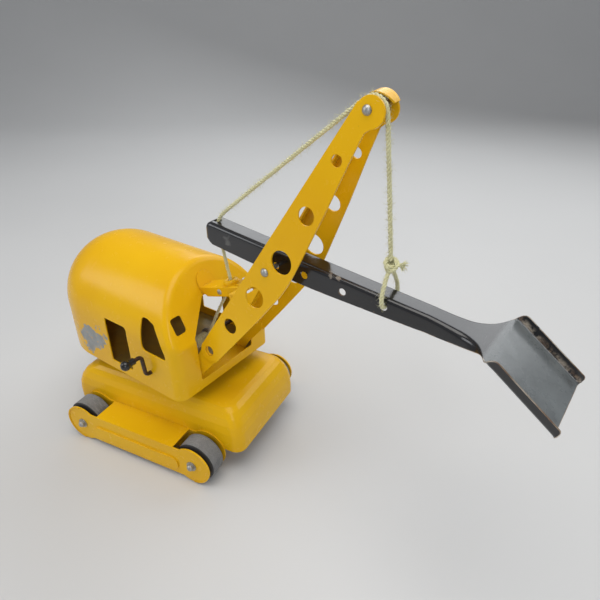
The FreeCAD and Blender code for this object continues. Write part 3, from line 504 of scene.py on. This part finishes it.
def hairs(line, dia, per_m, rng, verts, faces, lo=0.0014, hi=0.0064, thick=0.00008):
    """Loose fibres that stand out of the string."""
    pts, length = even(line, 0.0008)
    t, u, v = frames(pts)
    for _ in range(int(per_m * length)):
        i = int(rng.uniform(0.01, 0.99) * (len(pts) - 1))
        a = rng.uniform(0, 2 * math.pi)
        out = math.cos(a) * u[i] + math.sin(a) * v[i]
        L = lo + (hi - lo) * rng.beta(1.2, 3.0)
        along = t[i] * rng.uniform(-1.0, 1.0)
        d = out * 0.8 + along * 0.8
        d /= np.linalg.norm(d)
        side = np.cross(d, t[i])
        side /= max(1e-9, np.linalg.norm(side))
        curl = rng.uniform(-0.6, 0.6)
        p0 = pts[i] + out * dia * 0.42
        hair = [p0, p0 + d * L * 0.5 + side * curl * L * 0.15, p0 + d * L + side * curl * L * 0.55 + along * L * 0.2]
        tube_mesh(np.array(hair), [thick, thick * 0.8, thick * 0.35], 3, verts, faces)


# ------------------------------------------------------------------ dipper arm and scoop, one smooth stamping
def arm_top(x):
    return 258.4 - 0.1085 * (x - 80.0)


LOW = [(74.6, 243.0), (79.0, 238.6), (94.4, 236.5), (123.2, 232.9), (179.3, 227.7), (196.0, 226.5), (232.8, 224.8), (266.8, 223.2), (286.0, 222.6)]


def arm_low(x):
    return float(np.interp(x, [q[0] for q in LOW], [q[1] for q in LOW]))


def quarter(d, r):
    return 0.0 if d >= r else r - math.sqrt(max(0.0, r * r - (r - d) ** 2))


STATIONS = []                     # x, z, tilt, half width, bend radius, turn of the flange, flange length
x0 = 71.4
for d in (0.0, 0.15, 0.5, 1.0, 1.7, 2.6, 3.7, 5.0, 6.5, 8.4):
    zt = arm_top(x0 + 8.4) - 0.109 * (d - 8.4) - quarter(d, 8.0)
    w = 9.5 - quarter(d, 4.6)
    zl = max(arm_low(x0 + d), 243.0 - 0.62 * d)
    STATIONS.append((x0 + d, zt, 0.0, w, 3.6, -90.0, zt - zl - 3.6))
for x in np.linspace(84.0, 286.0, 60):
    STATIONS.append((x, arm_top(x), 0.0, 9.5, 3.6, -90.0, arm_top(x) - arm_low(x) - 3.6))
MOUTH = [(286.0, 236.05, 0.0, 9.5, 3.6, -90.0, 9.85), (293.0, 235.0, 0.0, 9.9, 3.8, -89.0, 9.0), (300.0, 233.9, 0.0, 10.8, 4.0, -86.0, 7.7), (307.0, 232.9, -1.0, 12.0, 4.2, -82.0, 6.5),
         (314.0, 232.1, -2.0, 13.6, 4.6, -76.0, 5.2), (320.0, 231.7, -2.0, 15.9, 4.4, -70.0, 4.2), (326.0, 231.5, 0.0, 19.0, 3.6, -62.0, 3.0), (330.0, 231.4, 3.0, 22.4, 2.6, -50.0, 1.7),
         (333.0, 231.3, 8.0, 26.0, 1.6, -30.0, 0.8), (335.2, 231.2, 15.0, 29.5, 1.0, 0.0, 0.4), (336.6, 231.0, 23.0, 31.6, 1.4, 40.0, 1.1), (338.0, 230.3, 30.0, 32.2, 2.0, 70.0, 3.9),
         (339.6, 229.2, 35.0, 32.2, 2.4, 82.0, 5.4), (342.0, 227.5, 36.7, 32.2, 2.6, 82.0, 5.7), (349.0, 222.28, 36.7, 32.2, 2.6, 82.0, 5.6)]
mx = np.array(MOUTH)
ts = np.concatenate([[0], np.cumsum(np.hypot(np.diff(mx[:, 0]), np.diff(mx[:, 1])))])


def smooth_at(t):
    """Catmull-Rom through the mouth stations."""
    i = int(np.clip(np.searchsorted(ts, t) - 1, 0, len(ts) - 2))
    h = ts[i + 1] - ts[i]
    u = (t - ts[i]) / h
    m0 = (mx[i + 1] - mx[max(i - 1, 0)]) / (ts[i + 1] - ts[max(i - 1, 0)])
    j = min(i + 2, len(ts) - 1)
    m1 = (mx[j] - mx[i]) / (ts[j] - ts[i])
    return (2 * u ** 3 - 3 * u ** 2 + 1) * mx[i] + (u ** 3 - 2 * u ** 2 + u) * h * m0 + (3 * u ** 2 - 2 * u ** 3) * mx[i + 1] + (u ** 3 - u ** 2) * h * m1


for t in np.linspace(0, ts[-1], 100)[1:]:
    STATIONS.append(tuple(smooth_at(t)))
LEN = math.hypot(386.0 - 349.0, 194.75 - 222.28)
for k in range(1, 61):
    g = k / 60.0
    drop = quarter((1.0 - g) * LEN, 3.2)
    STATIONS.append((349.0 + (386.0 - 349.0) * g, 222.28 + (194.75 - 222.28) * g, 36.7, 32.2, 2.6, 82.0, max(0.5, 5.6 - 1.6 * drop)))


def section(x, z, tilt, w, r, turn, f, off):
    """One open section; off moves it towards the inside of the metal."""
    T = math.radians(turn)
    n_web, n_arc, n_fl = 10, 7, 5
    sa, ca = math.sin(abs(T)), math.cos(T)
    yb = w - r * sa - f * ca
    half = []
    for i in range(n_web + 1):
        half.append((yb * i / n_web, 0.0, 0.0, 1.0))
    sg = 1.0 if T >= 0 else -1.0
    for i in range(1, n_arc + 1):
        a = abs(T) * i / n_arc
        half.append((yb + r * math.sin(a), sg * r * (1 - math.cos(a)), -sg * math.sin(a), math.cos(a)))
    ye, he = half[-1][0], half[-1][1]
    for i in range(1, n_fl + 1):
        half.append((ye + f * ca * i / n_fl, he + sg * f * sa * i / n_fl, -sg * sa, ca))
    full = [(-y, h, -ny, nh) for y, h, ny, nh in half[:0:-1]] + half
    st, ct = math.sin(math.radians(tilt)), math.cos(math.radians(tilt))
    out = []
    for y, h, ny, nh in full:
        y, h = y - ny * off, h - nh * off
        out.append(P(x + st * h, y, z + ct * h))
    return out


TH = 0.85
verts, faces = [], []
for off in (0.0, TH):
    for st_ in STATIONS:
        verts += section(*st_, off)
NS, NC = len(STATIONS), len(verts) // (2 * len(STATIONS))
lay = NS * NC
for i in range(NS - 1):
    for k in range(NC - 1):
        a = i * NC + k
        faces.append((a, a + 1, a + NC + 1, a + NC))
        faces.append((lay + a, lay + a + NC, lay + a + NC + 1, lay + a + 1))
    for k, flip in ((0, False), (NC - 1, True)):
        a = i * NC + k
        q = (a, a + NC, lay + a + NC, lay + a)
        faces.append(q[::-1] if flip else q)
for k in range(NC - 1):
    a = (NS - 1) * NC + k
    faces.append((a, a + 1, lay + a + 1, lay + a))
# the closed rear end of the arm
faces.append(tuple(range(NC))[::-1])
faces.append(tuple(lay + k for k in range(NC)))
faces.append((0, NC - 1, lay + NC - 1, lay))
arm_obj = mesh_object("dipper_stamping", verts, faces, ["black"])
bm = bmesh.new()
bm.from_mesh(arm_obj.data)
bmesh.ops.recalc_face_normals(bm, faces=bm.faces)
bm.to_mesh(arm_obj.data)
bm.free()


def cutter(name, centre, axis, radius, length):
    u = axis.orthogonal().normalized()
    v = axis.cross(u)
    vs_, fs_ = [], []
    for s_ in (-0.5, 0.5):
        for k in range(40):
            a = 2 * math.pi * k / 40
            vs_.append(centre + axis * length * s_ + (u * math.cos(a) + v * math.sin(a)) * radius)
    for k in range(40):
        k2 = (k + 1) % 40
        fs_.append((k, k2, 40 + k2, 40 + k))
    fs_.append(tuple(range(40))[::-1])
    fs_.append(tuple(range(40, 80)))
    return mesh_object(name, vs_, fs_, ["black"], smooth=False)


cuts = []
for i, (hx, hz, hr) in enumerate(((152.2, 237.5, 3.1), (180.7, 237.0, 3.3), (216.9, 233.4, 3.0), (252.4, 232.2, 3.3))):
    cuts.append(cutter("hole_tool_%d" % i, P(hx, 0, hz), Vector((0, 1, 0)), hr / 1000.0, 0.06))
cuts.append(cutter("hole_tool_top", P(79.6, 0, 257.6), Vector((0, 0, 1)), 0.0036, 0.012))
for c in cuts:
    md = arm_obj.modifiers.new("hole", "BOOLEAN")
    md.operation = "DIFFERENCE"
    md.solver = "EXACT"
    md.object = c
dg = bpy.context.evaluated_depsgraph_get()
dg.update()
cut_mesh = bpy.data.meshes.new_from_object(arm_obj.evaluated_get(dg))
arm_obj.modifiers.clear()
old = arm_obj.data
arm_obj.data = cut_mesh
bpy.data.meshes.remove(old)
for c in cuts:
    me_ = c.data
    bpy.data.objects.remove(c)
    bpy.data.meshes.remove(me_)
for q in cut_mesh.polygons:
    q.use_smooth = True
cut_mesh.set_sharp_from_angle(angle=math.radians(40))
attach(arm_obj, "dipper")
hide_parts("dipper_scoop")


# ------------------------------------------------------------------ tyres with ribbed treads
def ribbed_tyre(node, body, outside):
    src = NODES[node]
    co = [src.matrix_world @ v.co for v in src.data.vertices]
    lo_ = Vector([min(c[k] for c in co) for k in range(3)])
    hi_ = Vector([max(c[k] for c in co) for k in range(3)])
    mid = (lo_ + hi_) / 2
    ax = Vector((-SB_, CB, 0)) * outside
    u = Vector((CB, SB_, 0))
    w = Vector((0, 0, 1))
    bore = min((((c - mid).dot(u)) ** 2 + ((c - mid).dot(w)) ** 2) ** 0.5 for c in co)
    half = max(abs((c - mid).dot(ax)) for c in co)
    RR = 0.0222
    prof = []                     # radius, position along the axle (outer side positive)
    for rr_, t in ((bore, 1.0), (bore + 0.0010, 1.0), (bore + 0.0014, 0.955), (RR - 0.0072, 0.955), (RR - 0.0066, 1.0), (RR - 0.0048, 1.0), (RR - 0.0042, 0.965), (RR - 0.0020, 0.955), (RR - 0.0006, 0.90), (RR, 0.82)):
        prof.append((rr_, half * t, 0))
    n_rib = 7
    for i in range(n_rib * 8 + 1):
        t = 0.82 - 1.64 * i / (n_rib * 8)
        groove = max(0.0, math.cos(2 * math.pi * (i / 8.0 + 0.5)) - 0.35) / 0.65
        prof.append((RR - 0.00055 * groove, half * t, 1))
    for rr_, t in ((RR, 0.82), (RR - 0.0006, 0.90), (RR - 0.0020, 0.955), (RR - 0.0042, 0.965), (RR - 0.0048, 1.0), (RR - 0.0066, 1.0), (RR - 0.0072, 0.955), (bore + 0.0014, 0.955), (bore + 0.0010, 1.0), (bore, 1.0)):
        prof.append((rr_, -half * t, 0))
    N = 96
    vs_, fs_, fm = [], [], []
    for k in range(N):
        a = 2 * math.pi * k / N
        d_ = u * math.cos(a) + w * math.sin(a)
        for rr_, t, _m in prof:
            vs_.append(mid + d_ * rr_ + ax * t)
    n_p = len(prof)
    for k in range(N):
        k2 = (k + 1) % N
        for i in range(n_p):
            j = (i + 1) % n_p
            fs_.append((k * n_p + i, k * n_p + j, k2 * n_p + j, k2 * n_p + i))
            fm.append(1 if prof[i][2] and prof[j][2] else 0)
    o = mesh_object(node + "_ribbed", vs_, fs_, ["side", "tread"], face_mats=fm)
    bm_ = bmesh.new()
    bm_.from_mesh(o.data)
    bmesh.ops.recalc_face_normals(bm_, faces=bm_.faces)
    bm_.to_mesh(o.data)
    bm_.free()
    o.data.set_sharp_from_angle(angle=math.radians(50))
    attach(o, body)
    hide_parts(node)


for fr in ("front", "rear"):
    for side, sgn in (("left", 1), ("right", -1)):
        ribbed_tyre("tyre_%s_%s" % (fr, side), "wheel_%s_%s" % (fr, side), sgn)

# ------------------------------------------------------------------ string
rng = np.random.default_rng(7)
D = 0.0034
PITCH = 0.0088
WX, WZ = 36.6, 112.6
HX, HZ = 233.4, 367.7
RW = 10.4
KX, KY, KZ = 251.2, 0.0, 263.0


def on_wrap(deg, r, y):
    a = math.radians(deg)
    return P(HX + r * math.cos(a), y, HZ + r * math.sin(a))


# up from the arm to the head, over the sheave, down to the knot
a_in, a_out = 127.9, 4.3
turn = (a_in - a_out) / 4.0
rc = RW / math.cos(math.radians(turn / 2))
hoist_pts = [P(79.6, -0.1, 253.2), P(79.9, -0.1, 260.3), P(96.0, -0.6, 273.8), P(150.0, -2.6, 315.9), P(207.0, -4.8, 360.3)]
for k in range(4):
    hoist_pts.append(on_wrap(a_in - turn * (k + 0.5), rc, -5.6))
hoist_pts += [P(245.1, -4.7, 351.0), P(248.6, -2.1, 304.0), P(KX - 0.2, 0.0, KZ + 3.0)]
hoist_line = route(hoist_pts)
vs, fs = [], []
strands(hoist_line, D, PITCH, vs, fs, 0.3, rng=rng)
hoist = mesh_object("hoist_string", vs, fs, ["twine"])
vs, fs = [], []
hairs(hoist_line, D, 4200, rng, vs, fs)
hoist_fuzz = mesh_object("hoist_string_fuzz", vs, fs, ["twine"])

# from the drum up through the guide eye and the hole at the tail of the arm
low_pts = [P(WX + 6.1, 0.0, WZ - 3.6), P(60.0, 0.0, 145.2), P(82.0, 0.0, 184.0), P(90.0, 0.0, 197.6), P(87.6, 0.0, 208.4), P(82.8, 0.0, 232.0), P(80.2, -0.1, 245.0), P(79.6, -0.1, 254.4)]
low_line = route(low_pts)
vs, fs = [], []
strands(low_line, D * 0.9, PITCH, vs, fs, 1.0, rng=rng)
lower = mesh_object("lower_string", vs, fs, ["twine"])
vs, fs = [], []
hairs(low_line, D * 0.9, 1500, rng, vs, fs, 0.001, 0.003)
lower_fuzz = mesh_object("lower_string_fuzz", vs, fs, ["twine"])

# turns on the drum
pts = []
n_turn, y_a, y_b = 6, -9.4, 9.2
for i in range(n_turn * 24 + 1):
    a = -2 * math.pi * i / 24 - 0.53
    k = i / (n_turn * 24)
    pts.append(P(WX + 4.9 * math.cos(a), y_a + (y_b - y_a) * k, WZ + 4.9 * math.sin(a)))
vs, fs = [], []
strands(np.array([list(p) for p in pts]), D * 0.95, PITCH, vs, fs)
wind_line = np.array([list(p) for p in pts])
winding = mesh_object("winding_turns", vs, fs, ["twine"])

# loop through the arm
loop_pts = [P(KX, -2.0, KZ - 4.2), P(252.0, -12.9, 245.0), P(252.5, -12.3, 231.2), P(252.5, 0.0, 230.9), P(252.5, 12.3, 231.2), P(252.0, 12.9, 245.0), P(KX, 2.0, KZ - 4.2)]
loop_line = route(loop_pts)
vs, fs = [], []
strands(loop_line, D, PITCH, vs, fs, 0.0, rng=rng)
loop = mesh_object("knot_loop", vs, fs, ["twine"])

# the knot: a hitch of two turns and a crossing turn, with a frayed tail
vs, fs = [], []
kpts = []
for i in range(0, 49):
    a = 2 * math.pi * i / 24
    r = 3.1 + 0.25 * math.sin(1.7 * a)
    kpts.append(P(KX + r * math.cos(a), KY + r * math.sin(a), KZ + 2.9 - 3.4 * i / 24 + 0.7 * math.sin(a)))
strands(np.array([list(p) for p in kpts]), D * 0.97, PITCH, vs, fs)
kp = [P(KX + 2.8, -1.0, KZ - 4.6), P(KX + 0.5, -4.9, KZ - 2.0), P(KX - 3.4, -3.4, KZ + 2.4), P(KX - 1.8, 1.4, KZ + 5.2), P(KX + 3.4, 2.0, KZ + 3.8), P(KX + 6.2, -0.4, KZ + 1.2), P(KX + 9.0, -1.0, KZ + 1.8)]
strands(route(kp), D * 0.95, PITCH, vs, fs, rng=rng)
kp2 = [P(KX + 2.6, 1.6, KZ + 4.6), P(KX + 5.6, -1.2, KZ + 3.0), P(KX + 6.0, -2.6, KZ - 0.6), P(KX + 2.6, -3.6, KZ - 3.4), P(KX - 1.4, -2.0, KZ - 4.8)]
strands(route(kp2), D * 0.9, PITCH, vs, fs, rng=rng)
tail0 = P(KX + 8.2, -1.0, KZ + 1.7)
for i in range(90):
    d = Vector((1.0, rng.uniform(-1.1, 1.1), rng.uniform(-1.1, 1.1))).normalized()
    L = rng.uniform(0.0026, 0.0068)
    p0 = tail0 + Vector((0, rng.uniform(-1, 1), rng.uniform(-1, 1))) * 0.0010
    pm = p0 + d * L * 0.55 + Vector((0, 0, rng.uniform(-1, 1))) * 0.0005
    p1 = p0 + d * L + Vector((0, rng.uniform(-1, 1), rng.uniform(-1, 1))) * 0.0012
    tube_mesh(np.array([list(p0), list(pm), list(p1)]), [0.00026, 0.00020, 0.00009], 4, vs, fs)
knot = mesh_object("string_knot_tied", vs, fs, ["twine"])
vs, fs = [], []
hairs(loop_line, D, 2600, rng, vs, fs)
hairs(np.array([list(p) for p in kpts]), D, 3600, rng, vs, fs)
loop_fuzz = mesh_object("knot_fuzz", vs, fs, ["twine"])

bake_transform(hoist)
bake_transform(hoist_fuzz)
for o in (lower, lower_fuzz):
    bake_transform(o)
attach(winding, "winch")
for o in (loop, knot, loop_fuzz):
    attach(o, "dipper")
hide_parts("string_upper", "string_wrap", "string_drop")
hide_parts("string_lower", "string_in_arm")
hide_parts("string_winding")
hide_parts("string_loop")
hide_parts("string_knot")


# ------------------------------------------------------------------ floor and light
def stage_floor():
    me = bpy.data.meshes.new("studio_floor")
    n_seg = 24
    verts, faces = [], []
    prof = [(-3.0, 0.0), (1.6, 0.0)]
    for i in range(1, n_seg + 1):
        a = math.pi / 2 * i / n_seg
        prof.append((1.6 + 1.2 * math.sin(a), 1.2 - 1.2 * math.cos(a)))
    prof.append((2.8, 5.0))
    d = Vector((F.x, F.y, 0)).normalized()
    r = Vector((d.y, -d.x, 0))
    for a, z in prof:
        for s in (-6.0, 6.0):
            p = d * a + r * s
            verts.append((p.x, p.y, z - 0.0002))
    for i in range(len(prof) - 1):
        faces.append((2 * i, 2 * i + 1, 2 * i + 3, 2 * i + 2))
    me.from_pydata(verts, [], faces)
    for p in me.polygons:
        p.use_smooth = True
    o = bpy.data.objects.new("studio_floor", me)
    bpy.context.scene.collection.objects.link(o)
    n = Nodes("studio_floor_mat")
    n.set("Base Color", n.mix(n.noise(3.0, 2.0), (0.60, 0.60, 0.595), (0.64, 0.64, 0.635)))
    n.set("Roughness", 0.55)
    me.materials.append(n.m)


stage_floor()
world = bpy.data.worlds.new("studio")
bpy.context.scene.world = world
world.use_nodes = True
bg = world.node_tree.nodes.get("Background") or world.node_tree.nodes.new("ShaderNodeBackground")
bg.inputs["Color"].default_value = (0.80, 0.83, 0.88, 1)
bg.inputs["Strength"].default_value = 0.34


def area(name, loc, target, size, size_y, power, color=(1, 1, 1)):
    li = bpy.data.lights.new(name, "AREA")
    li.shape = "RECTANGLE"
    li.size, li.size_y = size, size_y
    li.energy = power
    li.color = color
    o = bpy.data.objects.new(name, li)
    o.location = loc
    o.rotation_euler = (Vector(target) - Vector(loc)).to_track_quat("-Z", "Y").to_euler()
    bpy.context.scene.collection.objects.link(o)
    return o


area("key_top", (0.1, -0.2, 1.5), (0, 0, 0.1), 1.2, 1.0, 11.5, (1.0, 0.97, 0.93))
area("panel_back", (-0.1, 1.25, 1.02), (0.0, 0.0, 0.2), 2.6, 0.7, 14.0, (0.96, 0.98, 1.0))
area("fill_left", (-1.1, -1.0, 0.9), (0, 0, 0.15), 0.8, 0.8, 6.0, (0.95, 0.97, 1.0))
area("strip_right", (0.9, -0.9, 0.75), (0.0, 0.0, 0.2), 0.12, 0.9, 3.5)
